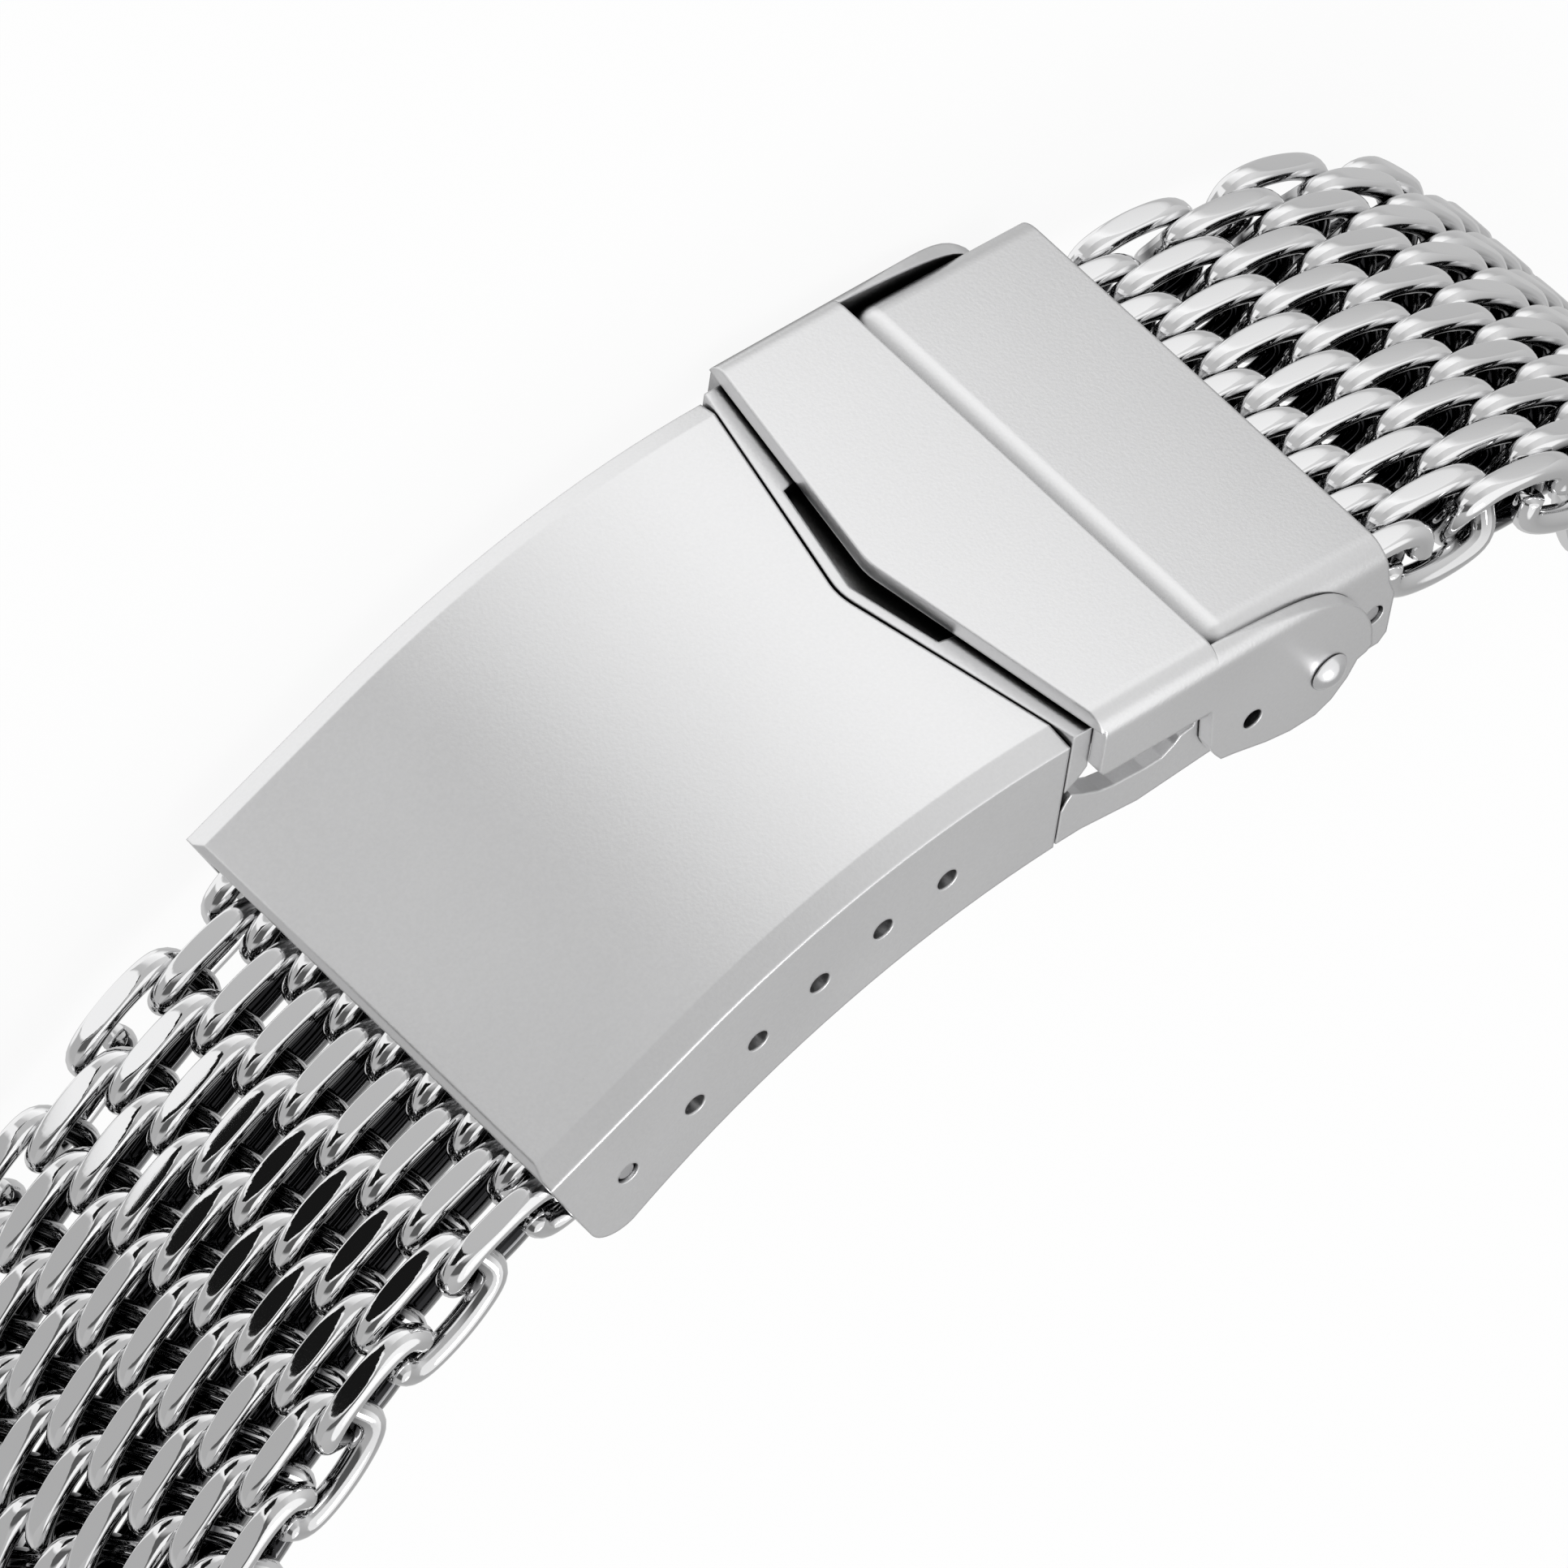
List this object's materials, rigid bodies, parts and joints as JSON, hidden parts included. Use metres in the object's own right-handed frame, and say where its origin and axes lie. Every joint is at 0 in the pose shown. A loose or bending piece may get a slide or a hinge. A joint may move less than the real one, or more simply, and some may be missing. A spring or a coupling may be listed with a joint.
{
  "type": "mesh watch bracelet",
  "caption": "Polished wire-mesh watch bracelet with a folding clasp and flip lock, open between the lug ends for a watch head.",
  "frame": {"origin": "middle of the bounding box's foot, with the loop lying on its edge", "axes": "+X towards the cover's side of the loop, -Y out through the clasp's top, +Z across the strap towards the pictured near edge"},
  "size_m": [0.089, 0.0656, 0.0245],
  "materials": {
    "clasp_satin": "fine satin",
    "blade_steel": "brushed",
    "mesh_polish": "mirror polish",
    "pin_polish": "polished",
    "bar_steel": "drawn",
    "spring_steel": "bare"
  },
  "bodies": {
    "cover": {"cover_shell": "clasp_satin", "fold_pin_mid": "pin_polish", "cover_end_tube": "pin_polish", "cover_bar_sleeve": "bar_steel", "cover_bar_spring": "spring_steel"},
    "short_blade": {"short_blade": "blade_steel"},
    "lock": {"long_blade": "blade_steel", "fold_pin_end": "pin_polish", "lock_housing": "clasp_satin", "flip_lock_pins": "pin_polish", "hood_end_tube": "pin_polish", "hood_bar_sleeve": "bar_steel", "hood_bar_spring": "spring_steel"},
    "flip_lock": {"flip_lock": "clasp_satin"},
    "cover_side_row_01": {"cover_side_row_01": "mesh_polish"},
    "cover_side_row_02": {"cover_side_row_02": "mesh_polish"},
    "cover_side_row_03": {"cover_side_row_03": "mesh_polish"},
    "cover_side_row_04": {"cover_side_row_04": "mesh_polish"},
    "cover_side_row_05": {"cover_side_row_05": "mesh_polish"},
    "cover_side_row_06": {"cover_side_row_06": "mesh_polish"},
    "cover_side_row_07": {"cover_side_row_07": "mesh_polish"},
    "cover_side_row_08": {"cover_side_row_08": "mesh_polish"},
    "cover_side_row_09": {"cover_side_row_09": "mesh_polish"},
    "cover_side_row_10": {"cover_side_row_10": "mesh_polish"},
    "cover_side_row_11": {"cover_side_row_11": "mesh_polish"},
    "cover_side_row_12": {"cover_side_row_12": "mesh_polish"},
    "cover_side_row_13": {"cover_side_row_13": "mesh_polish"},
    "cover_side_row_14": {"cover_side_row_14": "mesh_polish"},
    "cover_side_row_15": {"cover_side_row_15": "mesh_polish"},
    "cover_side_row_16": {"cover_side_row_16": "mesh_polish"},
    "hood_side_row_01": {"hood_side_row_01": "mesh_polish"},
    "hood_side_row_02": {"hood_side_row_02": "mesh_polish"},
    "hood_side_row_03": {"hood_side_row_03": "mesh_polish"},
    "hood_side_row_04": {"hood_side_row_04": "mesh_polish"},
    "hood_side_row_05": {"hood_side_row_05": "mesh_polish"},
    "hood_side_row_06": {"hood_side_row_06": "mesh_polish"},
    "hood_side_row_07": {"hood_side_row_07": "mesh_polish"},
    "hood_side_row_08": {"hood_side_row_08": "mesh_polish"},
    "hood_side_row_09": {"hood_side_row_09": "mesh_polish"},
    "hood_side_row_10": {"hood_side_row_10": "mesh_polish"},
    "hood_side_row_11": {"hood_side_row_11": "mesh_polish"},
    "hood_side_row_12": {"hood_side_row_12": "mesh_polish"},
    "hood_side_row_13": {"hood_side_row_13": "mesh_polish"},
    "hood_side_row_14": {"hood_side_row_14": "mesh_polish"},
    "cover_lug_bar": {"cover_lug_end_tube": "pin_polish", "cover_lug_bar_sleeve": "bar_steel", "cover_lug_bar_spring": "spring_steel"},
    "hood_lug_bar": {"hood_lug_end_tube": "pin_polish", "hood_lug_bar_sleeve": "bar_steel", "hood_lug_bar_spring": "spring_steel"},
    "cover_bar_tip_far": {"cover_bar_tip_far": "bar_steel"},
    "cover_bar_tip_near": {"cover_bar_tip_near": "bar_steel"},
    "hood_bar_tip_far": {"hood_bar_tip_far": "bar_steel"},
    "hood_bar_tip_near": {"hood_bar_tip_near": "bar_steel"},
    "cover_lug_bar_tip_far": {"cover_lug_bar_tip_far": "bar_steel"},
    "cover_lug_bar_tip_near": {"cover_lug_bar_tip_near": "bar_steel"},
    "hood_lug_bar_tip_far": {"hood_lug_bar_tip_far": "bar_steel"},
    "hood_lug_bar_tip_near": {"hood_lug_bar_tip_near": "bar_steel"}
  },
  "joints": [
    {"name": "clasp_fold", "type": "hinge", "parent": "cover", "child": "short_blade", "pos_m": [-0.00637, -0.02854, 0.01225], "axis": [0, 0, 1], "range_deg": [0, 150]},
    {"name": "blade_unfold", "type": "hinge", "parent": "short_blade", "child": "lock", "pos_m": [0.00266, -0.02811, 0.01225], "axis": [0, 0, 1], "range_deg": [-150, 0]},
    {"name": "flip_lock_open", "type": "hinge", "parent": "lock", "child": "flip_lock", "pos_m": [-0.02438, -0.01732, 0.01225], "axis": [0, 0, -1], "range_deg": [0, 100]},
    {"name": "cover_side_swing", "type": "hinge", "parent": "cover", "child": "cover_side_row_01", "pos_m": [0.009, -0.02872, 0.01225], "axis": [0, 0, 1], "range_deg": [-12, 20]},
    {"name": "cover_side_hinge_02", "type": "hinge", "parent": "cover_side_row_01", "child": "cover_side_row_02", "pos_m": [0.01207, -0.02872, 0.01225], "axis": [0, 0, 1], "range_deg": [-1, 3]},
    {"name": "cover_side_hinge_03", "type": "hinge", "parent": "cover_side_row_02", "child": "cover_side_row_03", "pos_m": [0.01596, -0.02865, 0.01225], "axis": [0, 0, 1], "range_deg": [-9, 3]},
    {"name": "cover_side_hinge_04", "type": "hinge", "parent": "cover_side_row_03", "child": "cover_side_row_04", "pos_m": [0.01981, -0.02798, 0.01225], "axis": [0, 0, 1], "range_deg": [-6.5, 3]},
    {"name": "cover_side_hinge_05", "type": "hinge", "parent": "cover_side_row_04", "child": "cover_side_row_05", "pos_m": [0.02355, -0.02687, 0.01225], "axis": [0, 0, 1], "range_deg": [-5, 3]},
    {"name": "cover_side_hinge_06", "type": "hinge", "parent": "cover_side_row_05", "child": "cover_side_row_06", "pos_m": [0.02717, -0.02544, 0.01225], "axis": [0, 0, 1], "range_deg": [-5.5, 3]},
    {"name": "cover_side_hinge_07", "type": "hinge", "parent": "cover_side_row_06", "child": "cover_side_row_07", "pos_m": [0.03065, -0.02367, 0.01225], "axis": [0, 0, 1], "range_deg": [-6.5, 3]},
    {"name": "cover_side_hinge_08", "type": "hinge", "parent": "cover_side_row_07", "child": "cover_side_row_08", "pos_m": [0.0339, -0.02152, 0.01225], "axis": [0, 0, 1], "range_deg": [-7.5, 3]},
    {"name": "cover_side_hinge_09", "type": "hinge", "parent": "cover_side_row_08", "child": "cover_side_row_09", "pos_m": [0.03684, -0.01896, 0.01225], "axis": [0, 0, 1], "range_deg": [-11, 3]},
    {"name": "cover_side_hinge_10", "type": "hinge", "parent": "cover_side_row_09", "child": "cover_side_row_10", "pos_m": [0.03925, -0.01588, 0.01225], "axis": [0, 0, 1], "range_deg": [-11, 3]},
    {"name": "cover_side_hinge_11", "type": "hinge", "parent": "cover_side_row_10", "child": "cover_side_row_11", "pos_m": [0.04102, -0.01241, 0.01225], "axis": [0, 0, 1], "range_deg": [-11, 3]},
    {"name": "cover_side_hinge_12", "type": "hinge", "parent": "cover_side_row_11", "child": "cover_side_row_12", "pos_m": [0.04209, -0.00866, 0.01225], "axis": [0, 0, 1], "range_deg": [-11, 3]},
    {"name": "cover_side_hinge_13", "type": "hinge", "parent": "cover_side_row_12", "child": "cover_side_row_13", "pos_m": [0.04243, -0.00477, 0.01225], "axis": [0, 0, 1], "range_deg": [-11, 3]},
    {"name": "cover_side_hinge_14", "type": "hinge", "parent": "cover_side_row_13", "child": "cover_side_row_14", "pos_m": [0.04202, -0.0009, 0.01225], "axis": [0, 0, 1], "range_deg": [-11, 3]},
    {"name": "cover_side_hinge_15", "type": "hinge", "parent": "cover_side_row_14", "child": "cover_side_row_15", "pos_m": [0.04088, 0.00283, 0.01225], "axis": [0, 0, 1], "range_deg": [-11, 3]},
    {"name": "cover_side_hinge_16", "type": "hinge", "parent": "cover_side_row_15", "child": "cover_side_row_16", "pos_m": [0.03905, 0.00628, 0.01225], "axis": [0, 0, 1], "range_deg": [-11, 3]},
    {"name": "hood_side_swing", "type": "hinge", "parent": "lock", "child": "hood_side_row_01", "pos_m": [-0.02724, -0.01643, 0.01225], "axis": [0, 0, -1], "range_deg": [-12, 20]},
    {"name": "hood_side_hinge_02", "type": "hinge", "parent": "hood_side_row_01", "child": "hood_side_row_02", "pos_m": [-0.02984, -0.0148, 0.01225], "axis": [0, 0, -1], "range_deg": [-3, 3]},
    {"name": "hood_side_hinge_03", "type": "hinge", "parent": "hood_side_row_02", "child": "hood_side_row_03", "pos_m": [-0.03304, -0.01256, 0.01225], "axis": [0, 0, -1], "range_deg": [-6.5, 3]},
    {"name": "hood_side_hinge_04", "type": "hinge", "parent": "hood_side_row_03", "child": "hood_side_row_04", "pos_m": [-0.03596, -0.00998, 0.01225], "axis": [0, 0, -1], "range_deg": [-10.5, 3]},
    {"name": "hood_side_hinge_05", "type": "hinge", "parent": "hood_side_row_04", "child": "hood_side_row_05", "pos_m": [-0.03836, -0.00691, 0.01225], "axis": [0, 0, -1], "range_deg": [-12, 3]},
    {"name": "hood_side_hinge_06", "type": "hinge", "parent": "hood_side_row_05", "child": "hood_side_row_06", "pos_m": [-0.04007, -0.0034, 0.01225], "axis": [0, 0, -1], "range_deg": [-13, 3]},
    {"name": "hood_side_hinge_07", "type": "hinge", "parent": "hood_side_row_06", "child": "hood_side_row_07", "pos_m": [-0.04095, 0.0004, 0.01225], "axis": [0, 0, -1], "range_deg": [-3, 3]},
    {"name": "hood_side_hinge_08", "type": "hinge", "parent": "hood_side_row_07", "child": "hood_side_row_08", "pos_m": [-0.04162, 0.00424, 0.01225], "axis": [0, 0, -1], "range_deg": [-3, 3]},
    {"name": "hood_side_hinge_09", "type": "hinge", "parent": "hood_side_row_08", "child": "hood_side_row_09", "pos_m": [-0.0421, 0.00811, 0.01225], "axis": [0, 0, -1], "range_deg": [-3, 3]},
    {"name": "hood_side_hinge_10", "type": "hinge", "parent": "hood_side_row_09", "child": "hood_side_row_10", "pos_m": [-0.04237, 0.012, 0.01225], "axis": [0, 0, -1], "range_deg": [-3, 3]},
    {"name": "hood_side_hinge_11", "type": "hinge", "parent": "hood_side_row_10", "child": "hood_side_row_11", "pos_m": [-0.04244, 0.0159, 0.01225], "axis": [0, 0, -1], "range_deg": [-3, 3]},
    {"name": "hood_side_hinge_12", "type": "hinge", "parent": "hood_side_row_11", "child": "hood_side_row_12", "pos_m": [-0.0423, 0.0198, 0.01225], "axis": [0, 0, -1], "range_deg": [-3, 3]},
    {"name": "hood_side_hinge_13", "type": "hinge", "parent": "hood_side_row_12", "child": "hood_side_row_13", "pos_m": [-0.04196, 0.02368, 0.01225], "axis": [0, 0, -1], "range_deg": [-3, 3]},
    {"name": "hood_side_hinge_14", "type": "hinge", "parent": "hood_side_row_13", "child": "hood_side_row_14", "pos_m": [-0.04142, 0.02755, 0.01225], "axis": [0, 0, -1], "range_deg": [-3, 3]},
    {"name": "cover_lug_bar_spin", "type": "hinge", "parent": "cover_side_row_16", "child": "cover_lug_bar", "pos_m": [0.03712, 0.00866, 0.01225], "axis": [0, 0, 1], "continuous": true},
    {"name": "hood_lug_bar_spin", "type": "hinge", "parent": "hood_side_row_14", "child": "hood_lug_bar", "pos_m": [-0.04084, 0.03056, 0.01225], "axis": [0, 0, 1], "continuous": true},
    {"name": "cover_tip_far_press", "type": "slide", "parent": "cover", "child": "cover_bar_tip_far", "axis": [0, 0, 1], "range_m": [0, 0.00095], "stiffness_N_per_m": 300, "deforming": ["cover_bar_spring"]},
    {"name": "cover_tip_near_press", "type": "slide", "parent": "cover", "child": "cover_bar_tip_near", "axis": [0, 0, -1], "range_m": [0, 0.00095], "stiffness_N_per_m": 300},
    {"name": "hood_tip_far_press", "type": "slide", "parent": "lock", "child": "hood_bar_tip_far", "axis": [0, 0, 1], "range_m": [0, 0.00095], "stiffness_N_per_m": 300, "deforming": ["hood_bar_spring"]},
    {"name": "hood_tip_near_press", "type": "slide", "parent": "lock", "child": "hood_bar_tip_near", "axis": [0, 0, -1], "range_m": [0, 0.00095], "stiffness_N_per_m": 300},
    {"name": "cover_lug_tip_far_press", "type": "slide", "parent": "cover_lug_bar", "child": "cover_lug_bar_tip_far", "axis": [0, 0, 1], "range_m": [0, 0.00095], "stiffness_N_per_m": 300, "deforming": ["cover_lug_bar_spring"]},
    {"name": "cover_lug_tip_near_press", "type": "slide", "parent": "cover_lug_bar", "child": "cover_lug_bar_tip_near", "axis": [0, 0, -1], "range_m": [0, 0.00095], "stiffness_N_per_m": 300},
    {"name": "hood_lug_tip_far_press", "type": "slide", "parent": "hood_lug_bar", "child": "hood_lug_bar_tip_far", "axis": [0, 0, 1], "range_m": [0, 0.00095], "stiffness_N_per_m": 300, "deforming": ["hood_lug_bar_spring"]},
    {"name": "hood_lug_tip_near_press", "type": "slide", "parent": "hood_lug_bar", "child": "hood_lug_bar_tip_near", "axis": [0, 0, -1], "range_m": [0, 0.00095], "stiffness_N_per_m": 300}
  ],
  "couplings": [
    {"joint": "blade_unfold", "follows": "clasp_fold", "ratio": -1},
    {"joint": "cover_tip_near_press", "follows": "cover_tip_far_press", "ratio": 1},
    {"joint": "hood_tip_near_press", "follows": "hood_tip_far_press", "ratio": 1},
    {"joint": "cover_lug_tip_near_press", "follows": "cover_lug_tip_far_press", "ratio": 1},
    {"joint": "hood_lug_tip_near_press", "follows": "hood_lug_tip_far_press", "ratio": 1}
  ]
}
